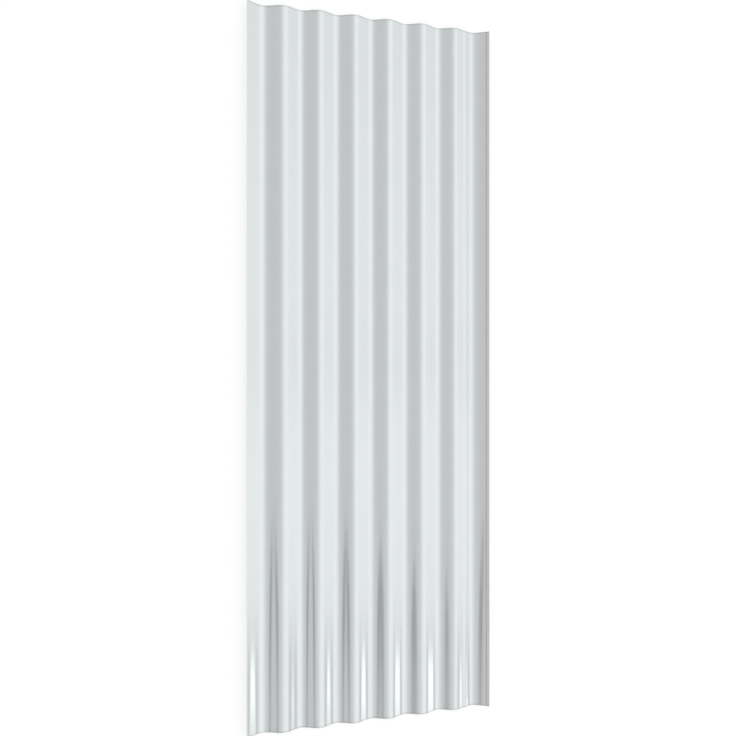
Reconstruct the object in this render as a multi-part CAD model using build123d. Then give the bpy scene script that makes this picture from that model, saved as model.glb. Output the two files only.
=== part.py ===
from build123d import *
from math import asin, atan2, copysign, cos, hypot, sin
import os

# A single rolled sheet of corrugated metal, lying flat with its front face up.
# X runs across the waves, Y along them and Z up. The troughs touch Z = 0.

# Driving sizes, in millimetres
SHEET_LENGTH = 1000.0     # along the waves, cut end to cut end
SHEET_WIDTH = 360.0       # across the waves, slit edge to slit edge
GAUGE = 0.5               # thickness of the metal
WAVE_PITCH = 51.2         # crest to crest
WAVE_DEPTH = 9.6          # under the troughs to the top of the crests
LAP_PITCH = 54.8          # of the half wave before the outermost trough at each side
EDGE_PITCH = 64.0         # of the half wave past that trough, which the edge cuts short of its crest
EDGE_DEPTH = 13.3         # under that trough to the top of the crest that is cut off
BEND_RADIUS = 18.0        # of every crest and trough, to the middle of the metal
BEAD_WIDTH = 3.6          # of the step in the last falling flank, across the waves
BEAD_FALL = 0.9           # drop across that step
BEAD_INNER_RADIUS = 0.8   # of the two small bends at the step, inside the bend

# The line along the middle of the metal
middle_depth = WAVE_DEPTH - GAUGE
edge_depth = EDGE_DEPTH - GAUGE
bead_radius = BEAD_INNER_RADIUS + GAUGE / 2
bead_straight = BEAD_INNER_RADIUS + GAUGE
bead_run = LAP_PITCH / 4 - BEAD_WIDTH / 2
bead_drop = (middle_depth - BEAD_FALL) / 2

# Crests and troughs are counted in half waves from the trough in the middle: odd steps are crests.
# The inner waves end at the crest before the outermost trough. The wave is opened out past that crest,
# and past the trough it climbs higher, so that the sheet's edges stand a little above the crests.
last_trough = int((SHEET_WIDTH / 2 - LAP_PITCH / 2 + WAVE_PITCH / 2) // WAVE_PITCH)
inner_steps = 2 * last_trough - 1


def roomiest_radius(run, drop):
    """Largest bend that leaves some straight flank beside it. Run and drop are measured from the top
    of the bend to the flank's middle or bead."""
    return (run**2 + drop**2 - bead_straight**2) / (2 * drop)


bend_radius = min(
    BEND_RADIUS,
    roomiest_radius(WAVE_PITCH / 4, middle_depth / 2),
    roomiest_radius(LAP_PITCH / 4, middle_depth / 2),
    roomiest_radius(EDGE_PITCH / 4, edge_depth / 2),
    roomiest_radius(bead_run, bead_drop),
)


def touching_slope(run, drop):
    """Slope of the flank that goes through its middle or bead and touches the bend."""
    rise = bend_radius - drop
    return asin(bend_radius / hypot(run, rise)) - atan2(rise, run)


plain_slope = touching_slope(WAVE_PITCH / 4, middle_depth / 2)
lap_slope = touching_slope(LAP_PITCH / 4, middle_depth / 2)
edge_slope = touching_slope(EDGE_PITCH / 4, edge_depth / 2)
stepped_slope = touching_slope(bead_run, bead_drop)


def wave_place(step):
    """Where a crest or trough lies across the sheet."""
    lap_steps = min(max(abs(step) - inner_steps, 0), 1)
    edge_steps = max(abs(step) - inner_steps - 1, 0)
    plain_steps = abs(step) - lap_steps - edge_steps
    reach = (plain_steps * WAVE_PITCH + lap_steps * LAP_PITCH + edge_steps * EDGE_PITCH) / 2
    return copysign(reach, step)


def wave_height(step):
    """Height of a crest or trough, from the middle of the inner waves."""
    if step % 2 == 0:
        return -middle_depth / 2
    return middle_depth / 2 if abs(step) <= inner_steps else edge_depth - middle_depth / 2


def slope_after(step):
    """Slope of the flank between a crest or trough and the next one."""
    if step == inner_steps:
        return stepped_slope
    steps_out = max(abs(step), abs(step + 1)) - inner_steps
    if steps_out <= 0:
        return plain_slope
    return lap_slope if steps_out == 1 else edge_slope


def bend_corner(step, side):
    """Where the flanks beside a bend would meet. Side is 1 at a crest and -1 at a trough."""
    left_slope = slope_after(step - 1)
    right_slope = slope_after(step)
    reach = bend_radius / cos((left_slope + right_slope) / 2)
    lean = (right_slope - left_slope) / 2
    centre = wave_height(step) - side * bend_radius
    return Vector(wave_place(step) + reach * sin(lean), centre + side * reach * cos(lean))


def middle_line():
    """Corners of the wave, left to right, each with its bend radius and 1 for a crest-like turn.
    The wave is carried past both edges of the sheet."""
    past_edge = inner_steps + 4
    bead_centre = (wave_place(inner_steps) + wave_place(inner_steps + 1)) / 2
    bends = []
    for step in range(-past_edge, past_edge + 1):
        side = 1 if step % 2 else -1
        if step == inner_steps + 1:
            bends.append((Vector(bead_centre - BEAD_WIDTH / 2, BEAD_FALL / 2), bead_radius, -1))
            bends.append((Vector(bead_centre + BEAD_WIDTH / 2, -BEAD_FALL / 2), bead_radius, 1))
        bends.append((bend_corner(step, side), bend_radius, side))
    return bends


def face_line(bends, shift):
    """The wave moved by shift across the metal: flanks stay parallel and bends keep their centres."""
    corners = [bend[0] for bend in bends]
    normals = [(end - start).normalized().rotate(Axis.Z, 90) for start, end in zip(corners, corners[1:])]
    points = [corners[0] + normals[0] * shift]
    radii = []
    for (corner, radius, side), left, right in zip(bends[1:-1], normals, normals[1:]):
        points.append(corner + (left + right) * (shift / (1 + left.dot(right))))
        radii.append(radius + side * shift)
    points.append(corners[-1] + normals[-1] * shift)
    return FilletPolyline(*points, radius=radii)


# The section: front and back faces of the metal, slit to width
bends = middle_line()
front = face_line(bends, GAUGE / 2)
back = face_line(bends, -GAUGE / 2)
ends = [Line(front @ 0, back @ 0), Line(front @ 1, back @ 1)]
wave = make_face([*front.edges(), *back.edges(), *ends])
section = wave & Rectangle(SHEET_WIDTH, 3 * max(WAVE_DEPTH, EDGE_DEPTH))

# The sheet: the section carried along the waves, raised to stand on its troughs
sheet = extrude(Plane.XZ * section, SHEET_LENGTH / 2, both=True)
corrugated_sheet = Pos(0, 0, WAVE_DEPTH / 2) * sheet

os.makedirs("parts", exist_ok=True)
export_step(corrugated_sheet, "parts/corrugated_sheet.step")
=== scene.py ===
from math import radians

import bpy
import numpy as np
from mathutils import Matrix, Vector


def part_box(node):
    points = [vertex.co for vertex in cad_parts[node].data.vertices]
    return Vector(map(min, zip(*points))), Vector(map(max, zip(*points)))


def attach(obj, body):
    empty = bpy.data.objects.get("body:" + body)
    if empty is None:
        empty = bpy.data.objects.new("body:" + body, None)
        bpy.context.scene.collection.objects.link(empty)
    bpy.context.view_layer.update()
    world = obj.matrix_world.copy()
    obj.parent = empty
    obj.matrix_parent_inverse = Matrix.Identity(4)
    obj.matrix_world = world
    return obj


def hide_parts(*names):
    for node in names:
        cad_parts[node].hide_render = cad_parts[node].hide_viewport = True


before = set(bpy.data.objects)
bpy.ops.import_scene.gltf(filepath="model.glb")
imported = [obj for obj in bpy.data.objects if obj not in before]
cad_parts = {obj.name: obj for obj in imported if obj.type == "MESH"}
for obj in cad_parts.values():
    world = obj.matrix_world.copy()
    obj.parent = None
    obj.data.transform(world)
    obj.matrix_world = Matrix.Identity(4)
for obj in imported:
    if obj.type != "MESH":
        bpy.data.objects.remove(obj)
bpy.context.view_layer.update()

# A corrugated metal sheet, lying flat with its front face up. All sizes are in metres.
# X runs across the waves, Y along them and Z up. The troughs touch the floor at Z = 0.

sheet_low, sheet_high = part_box("corrugated_sheet")

# Sizes of the sheet
SHEET_WIDTH = sheet_high.x - sheet_low.x
SHEET_LENGTH = sheet_high.y - sheet_low.y
WAVE_DEPTH = 0.0096         # under the troughs to the top of the crests
WAVE_PITCH = 0.0512         # crest to crest
INNER_WAVES = 5             # between the outermost crests
LAP_PITCH = 0.0548          # of the half wave before the outermost trough at each side
LEFT_LEG_PITCH = 0.064      # of the half wave past the first trough, which the edge cuts short of its crest
LEFT_LEG_DEPTH = 0.0133     # under that trough to the top of the crest that is cut off
RIGHT_LEG_SLOPE = 0.77      # rise over run that the leg past the last trough tends to
RIGHT_LEG_EASE = 0.0126     # how slowly it comes to that slope
GAUGE = 0.0005              # thickness of the metal
EDGE_ROUND = 0.0001         # radius of the edges, which the shears rolled over
END_SHRINK = 0.8            # share of that rounding which also thins the metal at the cut ends
FLANK_POWER = 7             # of the last falling flank: an odd number, and the higher the straighter
BEAD_SHIFT = 0.0011         # from the middle of that flank to the middle of its step
BEAD_HALF = 0.0034          # half the width of the step
BEAD_RISE = 0.0013          # how much of the flank's fall the step holds back

# Places across the sheet, from its middle
INNER_REACH = INNER_WAVES / 2 * WAVE_PITCH   # the outermost crests
LAST_TROUGH = INNER_REACH + LAP_PITCH / 2    # the outermost troughs
FLANK_PLACE = INNER_REACH + LAP_PITCH / 4    # the middle of the last falling flank
BEAD_PLACE = FLANK_PLACE + BEAD_SHIFT        # the middle of its step

# How finely the surface is drawn
WAVE_POINTS = 481           # across the sheet
BEAD_POINTS = 61            # more of them across the step
BEAD_REACH = 2              # how far they go to each side of its middle, in half widths of the step
LENGTH_ROWS = 25            # along the sheet
END_ROW = 0.0006            # from the last of them to the rolled ends, so that only the ends look rounded
ROUND_POINTS = 4            # over a rolled edge
SLOPE_HAIR = 1e-6           # to each side, for measuring a slope
SHARP_ANGLE = radians(40)   # past which two faces meet in a sharp edge

# Marks in the coat: darker cut ends, a painted reflection on the right-hand leg and a painted line of shade
# near the right-hand edge
END_MARGIN = 0.0030         # made darker along the cut ends
END_DARKENING = 0.5          # how far it is darkened there
REFLECTION_LEG = 0.0150           # of the right-hand leg, where a plainer grey is painted into the coat as a painted reflection
SHADE_LINE_INSET = 0.0038          # from the right-hand edge to a painted line of shade along that edge
SHADE_LINE_HALF = 0.0012          # half the width of that line
SHADE_LINE_CORE = 0.0004          # half the width of its darkest part

# The zinc coat and the bare steel. A scale is how many marks lie in a metre, and a stretch multiplies it
# along each axis.
COAT_DARK = (0.790, 0.826, 0.835, 1.0)
COAT_LIGHT = (0.812, 0.846, 0.853, 1.0)
# painted reflection: the plainer grey painted on the right-hand leg
COAT_REFLECTION_GREY = (0.790, 0.803, 0.797, 1.0)
# darker coat for the cut ends, and painted shade for the line near the right-hand edge
DARK_ENDS_AND_SHADE_LINE = (0.60, 0.61, 0.615, 1.0)
COAT_ROUGHNESS = (0.09, 0.115)
CRYSTAL_SCALE = 110.0
CRYSTAL_STRETCH = (1.0, 0.7, 1.0)
CRYSTAL_SHARE = 0.5         # of the change in tone, the rest of which is clouds
CRYSTAL_ROUGHNESS = 0.015   # the most that a crystal adds
GRAIN_SCALE = 900.0
GRAIN_STRETCH = (1.0, 0.012, 1.0)
CLOUD_SCALE = 14.0
DIMPLE_SCALE = 160.0
SKIN_STRENGTH = 0.05
SKIN_DEPTH = 0.0002
STEEL_DARK = (0.50, 0.51, 0.52, 1.0)
STEEL_LIGHT = (0.66, 0.67, 0.68, 1.0)
STEEL_ROUGHNESS = (0.35, 0.5)
TEAR_SCALE = 2500.0
TEAR_STRETCH = (1.0, 1.0, 0.1)
NOISE_SPAN = (0.3, 0.7)     # where most of a noise's values lie
NOISE_DETAIL = 2.0

# The camera: its place and how far it leans from looking straight down
CAMERA_PLACE = (-0.3630, 0.0013, 1.1387)
CAMERA_LEAN = radians(17.474)
CAMERA_LENS = 40.85         # millimetres, on the usual 36 mm wide sensor

# The floor
FLOOR_HALF = 40.0
FLOOR_DROP = 0.0002         # under the troughs
FLOOR_PAINT = (0.62, 0.62, 0.62, 1.0)
FLOOR_GLOW = 0.53           # the part of its white that is its own

WHITE = (1.0, 1.0, 1.0, 1.0)

# Light in the studio, where 1 is white, by how far a direction leans across the waves, in degrees
DOME_LEVELS = (
    (-90, 0.94),
    (-62, 0.70),
    (-50, 0.655),
    (-34, 0.67),
    (-24, 0.69),
    (-14, 0.745),
    (-4, 0.825),
    (6, 0.90),
    (16, 0.965),
    (28, 1.00),
    (40, 0.985),
    (50, 0.963),
    (60, 0.945),
    (70, 0.94),
    (90, 0.94),
)

# Share of that light which the wall on the right sends back, by how far a direction leans along the waves
WALL_SHARES = (
    (-30, 1.00),
    (-17, 1.00),
    (-12, 1.02),
    (-7, 1.034),
    (-4, 1.027),
    (-1, 0.975),
    (2, 0.97),
    (5, 0.995),
    (10, 0.985),
    (15, 0.97),
    (21, 0.94),
    (30, 0.91),
)

# Changes in that light. Each pair gives the angles, in degrees, at which one begins and is complete.
WALL_SIDE = (40, 54)            # across, where the wall begins
END_SIDE = (31, 54)             # along, to either end, where it gets dimmer
END_SHARE = 0.62                # of the light that is left there
HIGH_HORIZON = (18, 10)         # height of the white horizon at the ends and on the left
LOW_HORIZON = (8, 4)            # height of the white horizon on the right
HORIZON_ENDS = (28, 36)         # along, where the high horizon takes over from the low one
HORIZON_LEFT = (-56, -66)       # across, where it does so on the left

# The dark card low on the left. A slant is the share of the other angle, counted from the pivot, that is
# added to the angle of a side.
CARD_OUTER_SIDE = (-43.2, -42.2)    # across
CARD_OUTER_SLANT = 0.36
CARD_OUTER_PIVOT = -14
CARD_INNER_SIDE = (-27, -38.5)      # across
CARD_START = (-10.6, -14.2)         # along
CARD_START_SLANT = 0.5
CARD_START_PIVOT = -40
CARD_FADE = (-22.5, -16.5)          # along
CARD_LEVELS = (-0.18, -0.27)        # added to the dome's light where that begins and where it is complete

# The bright window low on the right, and the grey frame round it
FRAME_SIDE = (44, 64)               # across
FRAME_START = (-15.3, -20.8)        # along
FRAME_LEVEL = -0.255                # added to the dome's light
WINDOW_SIDE = (69, 73)              # across
WINDOW_SLANT = -0.8
WINDOW_PIVOT = -20
WINDOW_START = (-17.6, -20.2)       # along
WINDOW_FADE = (-23.4, -21.2)        # along
WINDOW_FADE_SHARE = 0.42            # of its light that is there where that begins
WINDOW_LEVEL = 0.62                 # added to the dome's light


# The sheet's surface

def smooth_step(way):
    """From -1/2 to 1/2 as way goes from -1 to 1: a cubic S, level at both ends."""
    part = np.clip((way + 1) / 2, 0, 1)
    return part * part * (3 - 2 * part) - 0.5


def stepped_flank(x, swing):
    """Height of the last falling flank from its middle, at t from -1 to 1 of its run: t - t^power / power,
    which is level at both ends and nearly straight between them, with a step of an S the other way."""
    t = np.clip((x - FLANK_PLACE) / (LAP_PITCH / 4), -1, 1)
    fall = (swing + BEAD_RISE / 2) * (t - t**FLANK_POWER / FLANK_POWER) / (1 - 1 / FLANK_POWER)
    return BEAD_RISE * smooth_step((x - BEAD_PLACE) / BEAD_HALF) - fall


def middle_height(x):
    """Height of the middle of the metal: a cosine of the waves counted from the trough in the middle,
    which are longer past the inner crests. The last falling flank has the step. Past the outermost
    troughs the left leg follows a longer and deeper cosine, and the right one
    slope * ease * log(cosh(way / ease))."""
    swing = (WAVE_DEPTH - GAUGE) / 2
    inner = np.clip(x, -INNER_REACH, INNER_REACH)
    waves = inner / WAVE_PITCH + (x - inner) / LAP_PITCH
    wave = -swing * np.cos(2 * np.pi * waves)
    wave = np.where((x > INNER_REACH) & (x < LAST_TROUGH), stepped_flank(x, swing), wave)
    past_trough = np.maximum(np.abs(x) - LAST_TROUGH, 0)
    left_leg = (LEFT_LEG_DEPTH - GAUGE) / 2 * (1 - np.cos(2 * np.pi * past_trough / LEFT_LEG_PITCH))
    right_leg = RIGHT_LEG_SLOPE * RIGHT_LEG_EASE * np.log(np.cosh(past_trough / RIGHT_LEG_EASE))
    leg = np.where(x < 0, left_leg, right_leg)
    return GAUGE / 2 + np.where(past_trough > 0, leg, swing + wave)


def middle_slope(x):
    """Slope of the middle line, as an angle: the difference of the heights a hair to each side, over
    the two hairs."""
    return np.arctan((middle_height(x + SLOPE_HAIR) - middle_height(x - SLOPE_HAIR)) / (2 * SLOPE_HAIR))


def rolled_over(flat, turn):
    """A line of places with its two ends repeated for the rolling over, and the angle that the face has
    turned by at each: none along the line, and up to a quarter circle at both ends."""
    places = np.concatenate([np.full(len(turn), flat[0]), flat, np.full(len(turn), flat[-1])])
    turns = np.concatenate([-turn[::-1], np.zeros(len(flat)), turn])
    return places, turns


def face_points(side):
    """One face of the metal as a grid of points, rows along the sheet. Side is 1 for the front and -1 for
    the back. Each point is the middle line moved half the gauge along its normal. At the slit edges and the
    cut ends the face rolls over by a quarter circle towards the other face."""
    turn = np.linspace(0, np.pi / 2, ROUND_POINTS)[1:]
    flat_half = SHEET_WIDTH / 2 - EDGE_ROUND
    plain = np.linspace(-flat_half, flat_half, WAVE_POINTS)
    fine = BEAD_PLACE + np.linspace(-BEAD_REACH, BEAD_REACH, BEAD_POINTS) * BEAD_HALF
    flat_across, turn_across = rolled_over(np.union1d(plain, fine), turn)

    end_half = SHEET_LENGTH / 2 - EDGE_ROUND
    level_half = end_half - END_ROW
    level_rows = np.linspace(-level_half, level_half, LENGTH_ROWS)
    flat_along, turn_along = rolled_over(np.concatenate([[-end_half], level_rows, [end_half]]), turn)

    thinned = END_SHRINK * EDGE_ROUND * (1 - np.cos(turn_along))
    roll = (EDGE_ROUND - thinned)[:, None]
    x = flat_across + roll * np.sin(turn_across)
    y = np.broadcast_to((flat_along + EDGE_ROUND * np.sin(turn_along))[:, None], x.shape)
    shift = side * (GAUGE / 2 - EDGE_ROUND + roll * np.cos(turn_across))
    slope = middle_slope(x)
    return np.stack([x - shift * np.sin(slope), y, middle_height(x) + shift * np.cos(slope)], axis=-1)


def strip_faces(first, second):
    """Four-sided faces between two lines of point numbers of the same length, or between many such pairs."""
    corners = [first[..., :-1], first[..., 1:], second[..., 1:], second[..., :-1]]
    return np.stack(corners, axis=-1).reshape(-1, 4)


def corrugated_sheet():
    """The closed sheet: its front and back grids, joined by strips along the slit edges and cut ends."""
    front = face_points(1)
    back = face_points(-1)
    points = np.concatenate([front.reshape(-1, 3), back.reshape(-1, 3)])
    upper, lower = np.arange(len(points)).reshape(2, *front.shape[:2])
    broad = np.concatenate([
        strip_faces(upper[:-1], upper[1:]),
        strip_faces(lower[1:], lower[:-1]),
    ])
    sheared = np.concatenate([
        strip_faces(lower[0], upper[0]),
        strip_faces(upper[-1], lower[-1]),
        strip_faces(upper[:, 0], lower[:, 0]),
        strip_faces(lower[:, -1], upper[:, -1]),
    ])
    faces = np.concatenate([broad, sheared])
    finish_number = np.repeat([0, 1], [len(broad), len(sheared)]).astype(np.int32)

    mesh = bpy.data.meshes.new("rolled_sheet")
    mesh.from_pydata(points.tolist(), [], faces.tolist())
    mesh.polygons.foreach_set("use_smooth", np.ones(len(faces), dtype=bool))
    mesh.polygons.foreach_set("material_index", finish_number)
    mesh.set_sharp_from_angle(angle=SHARP_ANGLE)
    mesh.materials.append(galvanised_finish())
    mesh.materials.append(sheared_edge_finish())
    sheet = bpy.data.objects.new("rolled_sheet", mesh)
    bpy.context.scene.collection.objects.link(sheet)
    return sheet


# Nodes

def feed(tree, socket, value):
    """Puts a value on a socket, or joins another node's output to it."""
    if isinstance(value, bpy.types.NodeSocket):
        tree.links.new(value, socket)
    else:
        socket.default_value = value


def worked_out(tree, operation, first, second=0.0):
    """A Math node on one or two numbers or outputs."""
    step = tree.nodes.new("ShaderNodeMath")
    step.operation = operation
    feed(tree, step.inputs[0], first)
    feed(tree, step.inputs[1], second)
    return step.outputs[0]


def product(tree, *parts):
    """Several outputs multiplied together."""
    result = parts[0]
    for part in parts[1:]:
        result = worked_out(tree, "MULTIPLY", result, part)
    return result


def eased(tree, value, span, low=0.0, high=1.0):
    """A Map Range node: low before the span begins, high past its end and a smooth S between them."""
    step = tree.nodes.new("ShaderNodeMapRange")
    step.interpolation_type = "SMOOTHSTEP"
    for name, number in zip(("From Min", "From Max", "To Min", "To Max"), (*span, low, high)):
        step.inputs[name].default_value = number
    feed(tree, step.inputs["Value"], value)
    return step.outputs["Result"]


def mixed(tree, share, first, second):
    """A Mix node between two colours or colour outputs."""
    step = tree.nodes.new("ShaderNodeMix")
    step.data_type = "RGBA"
    feed(tree, step.inputs["Factor"], share)
    feed(tree, step.inputs["A"], first)
    feed(tree, step.inputs["B"], second)
    return step.outputs["Result"]


def split(tree, place):
    """The three parts of a place or a direction."""
    step = tree.nodes.new("ShaderNodeSeparateXYZ")
    tree.links.new(place, step.inputs["Vector"])
    return step.outputs["X"], step.outputs["Y"], step.outputs["Z"]


def stretched(tree, place, scale):
    """Object coordinates, scaled by a different amount along each axis."""
    mapping = tree.nodes.new("ShaderNodeMapping")
    mapping.inputs["Scale"].default_value = scale
    tree.links.new(place, mapping.inputs["Vector"])
    return mapping.outputs["Vector"]


def noise(tree, place, scale):
    """A Noise texture's grey value."""
    step = tree.nodes.new("ShaderNodeTexNoise")
    step.inputs["Scale"].default_value = scale
    step.inputs["Detail"].default_value = NOISE_DETAIL
    tree.links.new(place, step.inputs["Vector"])
    return step.outputs["Fac"]


def ramped(tree, angle, stops):
    """A colour ramp of grey levels over an angle in degrees."""
    ramp = tree.nodes.new("ShaderNodeValToRGB")
    elements = ramp.color_ramp.elements
    first_angle, last_angle = stops[0][0], stops[-1][0]
    while len(elements) < len(stops):
        elements.new(0.5)   # anywhere, as its place is set below
    for element, (place, level) in zip(elements, stops):
        element.position = (place - first_angle) / (last_angle - first_angle)
        element.color = (level, level, level, 1.0)
    share = tree.nodes.new("ShaderNodeMapRange")
    share.inputs["From Min"].default_value = first_angle
    share.inputs["From Max"].default_value = last_angle
    tree.links.new(angle, share.inputs["Value"])
    tree.links.new(share.outputs["Result"], ramp.inputs["Fac"])
    return ramp.outputs["Color"]


def slanted(tree, angle, other, slant, pivot):
    """An angle with a share of another one added, counted from a pivot, so that what follows it slants."""
    past_pivot = worked_out(tree, "SUBTRACT", other, pivot)
    return worked_out(tree, "ADD", angle, worked_out(tree, "MULTIPLY", past_pivot, slant))


# Finishes

def new_finish(name):
    """A material with its node tree, its main shader and its object coordinates."""
    finish = bpy.data.materials.new(name)
    finish.use_nodes = True
    tree = finish.node_tree
    place = tree.nodes.new("ShaderNodeTexCoord")
    return finish, tree, tree.nodes["Principled BSDF"], place.outputs["Object"]


def coat_with_painted_light(tree, place, bright):
    """The bright coat's colour with its marks: a plainer grey painted on the right-hand leg as a painted
    reflection, darker at the cut ends, and a painted line of shade near the right-hand edge."""
    edge = SHEET_WIDTH / 2
    end = SHEET_LENGTH / 2
    x, y, _ = split(tree, place)
    # painted reflection: a plainer grey painted on the right-hand leg
    on_reflection_leg = eased(tree, x, (edge - REFLECTION_LEG, edge - REFLECTION_LEG / 2))
    painted_reflection = mixed(tree, on_reflection_leg, bright, COAT_REFLECTION_GREY)
    from_middle = worked_out(tree, "ABSOLUTE", y)
    at_end = eased(tree, from_middle, (end - END_MARGIN, end - END_MARGIN / 2), 0.0, END_DARKENING)
    # painted shade: a dark line near the right-hand edge
    from_shade_line = worked_out(tree, "ABSOLUTE", worked_out(tree, "SUBTRACT", x, edge - SHADE_LINE_INSET))
    on_shade_line = eased(tree, from_shade_line, (SHADE_LINE_HALF, SHADE_LINE_CORE))
    return mixed(tree, worked_out(tree, "MAXIMUM", at_end, on_shade_line), painted_reflection, DARK_ENDS_AND_SHADE_LINE)


def galvanised_finish():
    """Bright zinc coat: faint frost-like crystals, a faint grain left along the waves by the rolls, darker
    cut ends, a painted reflection on the right-hand leg, a painted line of shade near the right-hand edge,
    and a skin that is never quite level."""
    finish, tree, shader, place = new_finish("galvanised_coat")
    crystals = tree.nodes.new("ShaderNodeTexVoronoi")
    crystals.inputs["Scale"].default_value = CRYSTAL_SCALE
    tree.links.new(stretched(tree, place, CRYSTAL_STRETCH), crystals.inputs["Vector"])
    crystal = tree.nodes.new("ShaderNodeSeparateColor")
    tree.links.new(crystals.outputs["Color"], crystal.inputs["Color"])
    grain = noise(tree, stretched(tree, place, GRAIN_STRETCH), GRAIN_SCALE)
    cloud = noise(tree, place, CLOUD_SCALE)

    crystal_shade = worked_out(tree, "MULTIPLY", crystal.outputs["Red"], CRYSTAL_SHARE)
    cloud_shade = worked_out(tree, "MULTIPLY", cloud, 1 - CRYSTAL_SHARE)
    bright = mixed(tree, worked_out(tree, "ADD", crystal_shade, cloud_shade), COAT_DARK, COAT_LIGHT)
    tree.links.new(coat_with_painted_light(tree, place, bright), shader.inputs["Base Color"])

    grain_roughness = eased(tree, grain, NOISE_SPAN, *COAT_ROUGHNESS)
    crystal_roughness = worked_out(tree, "MULTIPLY", crystal.outputs["Green"], CRYSTAL_ROUGHNESS)
    tree.links.new(worked_out(tree, "ADD", grain_roughness, crystal_roughness), shader.inputs["Roughness"])
    shader.inputs["Metallic"].default_value = 1.0

    skin = tree.nodes.new("ShaderNodeBump")
    skin.inputs["Strength"].default_value = SKIN_STRENGTH
    skin.inputs["Distance"].default_value = SKIN_DEPTH
    dimples = noise(tree, place, DIMPLE_SCALE)
    tree.links.new(worked_out(tree, "ADD", grain, dimples), skin.inputs["Height"])
    tree.links.new(skin.outputs["Normal"], shader.inputs["Normal"])
    return finish


def sheared_edge_finish():
    """Bare steel where the shears went through the coat: greyer, duller and torn in fine upright lines."""
    finish, tree, shader, place = new_finish("sheared_edge")
    tear = noise(tree, stretched(tree, place, TEAR_STRETCH), TEAR_SCALE)
    tree.links.new(mixed(tree, tear, STEEL_DARK, STEEL_LIGHT), shader.inputs["Base Color"])
    tree.links.new(eased(tree, tear, NOISE_SPAN, *STEEL_ROUGHNESS), shader.inputs["Roughness"])
    shader.inputs["Metallic"].default_value = 1.0
    return finish


# The studio

def soft_light(tree, across, along, height):
    """The ramp across the waves, with the wall on the right, dimmer towards both ends and white at the
    horizon."""
    from_middle = worked_out(tree, "ABSOLUTE", along)
    wall_change = worked_out(tree, "SUBTRACT", ramped(tree, along, WALL_SHARES), 1.0)
    wall_share = worked_out(tree, "ADD", 1.0, product(tree, eased(tree, across, WALL_SIDE), wall_change))
    end_share = eased(tree, from_middle, END_SIDE, 1.0, END_SHARE)
    level = product(tree, ramped(tree, across, DOME_LEVELS), wall_share, end_share)

    at_ends = eased(tree, from_middle, HORIZON_ENDS)
    off_right = worked_out(tree, "MAXIMUM", at_ends, eased(tree, across, HORIZON_LEFT))
    high_band = product(tree, eased(tree, height, HIGH_HORIZON), off_right)
    horizon = worked_out(tree, "MAXIMUM", high_band, eased(tree, height, LOW_HORIZON))
    short_of_white = worked_out(tree, "SUBTRACT", 1.0, level)
    return worked_out(tree, "ADD", level, product(tree, short_of_white, horizon))


def dark_card(tree, across, along):
    """What the dark card low on the left takes from the light."""
    return product(
        tree,
        eased(tree, slanted(tree, across, along, CARD_OUTER_SLANT, CARD_OUTER_PIVOT), CARD_OUTER_SIDE),
        eased(tree, across, CARD_INNER_SIDE),
        eased(tree, slanted(tree, along, across, CARD_START_SLANT, CARD_START_PIVOT), CARD_START),
        eased(tree, along, CARD_FADE, *CARD_LEVELS),
    )


def grey_frame(tree, across, along):
    """What the frame round the window takes from the light."""
    return product(tree, eased(tree, across, FRAME_SIDE), eased(tree, along, FRAME_START, 0.0, FRAME_LEVEL))


def bright_window(tree, across, along):
    """What the window low on the right adds to the light."""
    side = slanted(tree, across, along, WINDOW_SLANT, WINDOW_PIVOT)
    return product(
        tree,
        eased(tree, side, WINDOW_SIDE, 0.0, WINDOW_LEVEL),
        eased(tree, along, WINDOW_START),
        eased(tree, along, WINDOW_FADE, WINDOW_FADE_SHARE, 1.0),
    )


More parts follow.
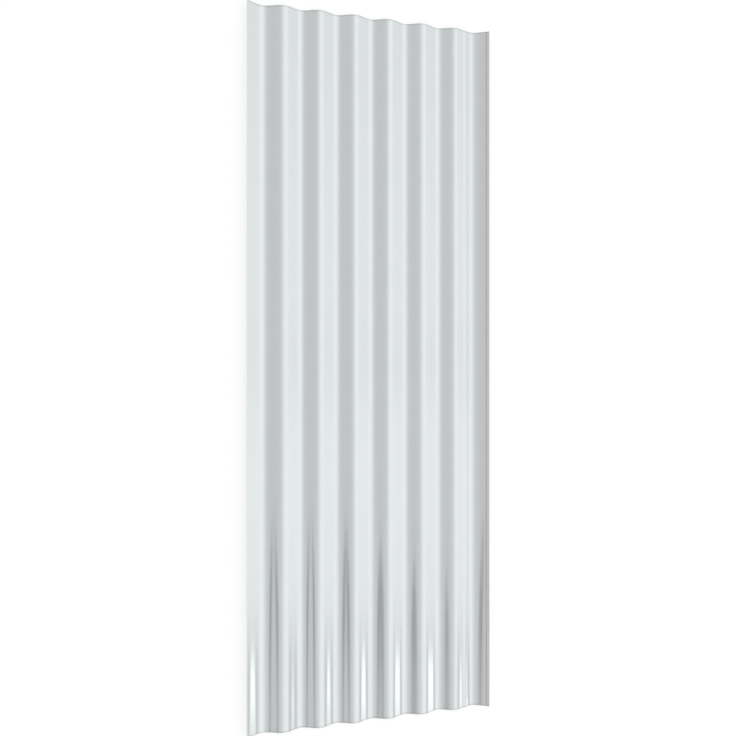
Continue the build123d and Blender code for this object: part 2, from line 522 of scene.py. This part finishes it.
def studio_dome():
    """Soft light from all round, worked out from the direction alone: how far it leans across and along the
    waves, and how high it points. The card, the frame and the window are added to it."""
    world = bpy.data.worlds.new("studio_dome")
    world.use_nodes = True
    tree = world.node_tree
    direction = tree.nodes.new("ShaderNodeTexCoord")
    x, y, z = split(tree, direction.outputs["Generated"])
    across = worked_out(tree, "DEGREES", worked_out(tree, "ARCTAN2", x, z))
    along = worked_out(tree, "DEGREES", worked_out(tree, "ARCSINE", y))
    height = worked_out(tree, "DEGREES", worked_out(tree, "ARCSINE", z))

    level = soft_light(tree, across, along, height)
    for part in (dark_card, grey_frame, bright_window):
        level = worked_out(tree, "ADD", level, part(tree, across, along))
    tree.links.new(level, tree.nodes["Background"].inputs["Strength"])
    tree.nodes["Background"].inputs["Color"].default_value = WHITE
    bpy.context.scene.world = world


def studio_floor():
    """A plain white floor just under the troughs. Part of its white is its own, for what is looked at
    straight or in a reflection, so that the shadow on it stays light."""
    corners = [(x * FLOOR_HALF, y * FLOOR_HALF, -FLOOR_DROP) for x, y in ((-1, -1), (1, -1), (1, 1), (-1, 1))]
    mesh = bpy.data.meshes.new("studio_floor")
    mesh.from_pydata(corners, [], [(0, 1, 2, 3)])
    floor = bpy.data.objects.new("studio_floor", mesh)
    bpy.context.scene.collection.objects.link(floor)

    paint, tree, shader, _ = new_finish("floor_white")
    shader.inputs["Roughness"].default_value = 1.0
    shader.inputs["Specular IOR Level"].default_value = 0.0
    shader.inputs["Base Color"].default_value = FLOOR_PAINT
    shader.inputs["Emission Color"].default_value = WHITE
    path = tree.nodes.new("ShaderNodeLightPath")
    seen = worked_out(tree, "MAXIMUM", path.outputs["Is Camera Ray"], path.outputs["Is Glossy Ray"])
    seen = worked_out(tree, "MAXIMUM", seen, path.outputs["Is Transmission Ray"])
    tree.links.new(worked_out(tree, "MULTIPLY", seen, FLOOR_GLOW), shader.inputs["Emission Strength"])
    mesh.materials.append(paint)


def studio_camera():
    """Looks down on the sheet from over its left side, leaning towards the right."""
    lens = bpy.data.cameras.new("studio_camera")
    lens.lens = CAMERA_LENS
    camera = bpy.data.objects.new("studio_camera", lens)
    camera.location = CAMERA_PLACE
    camera.rotation_euler = (0.0, -CAMERA_LEAN, 0.0)
    bpy.context.scene.collection.objects.link(camera)
    bpy.context.scene.camera = camera


sheet = corrugated_sheet()
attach(sheet, "root")
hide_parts("corrugated_sheet")

studio_dome()
studio_floor()
studio_camera()
bpy.context.scene.view_settings.view_transform = "Standard"
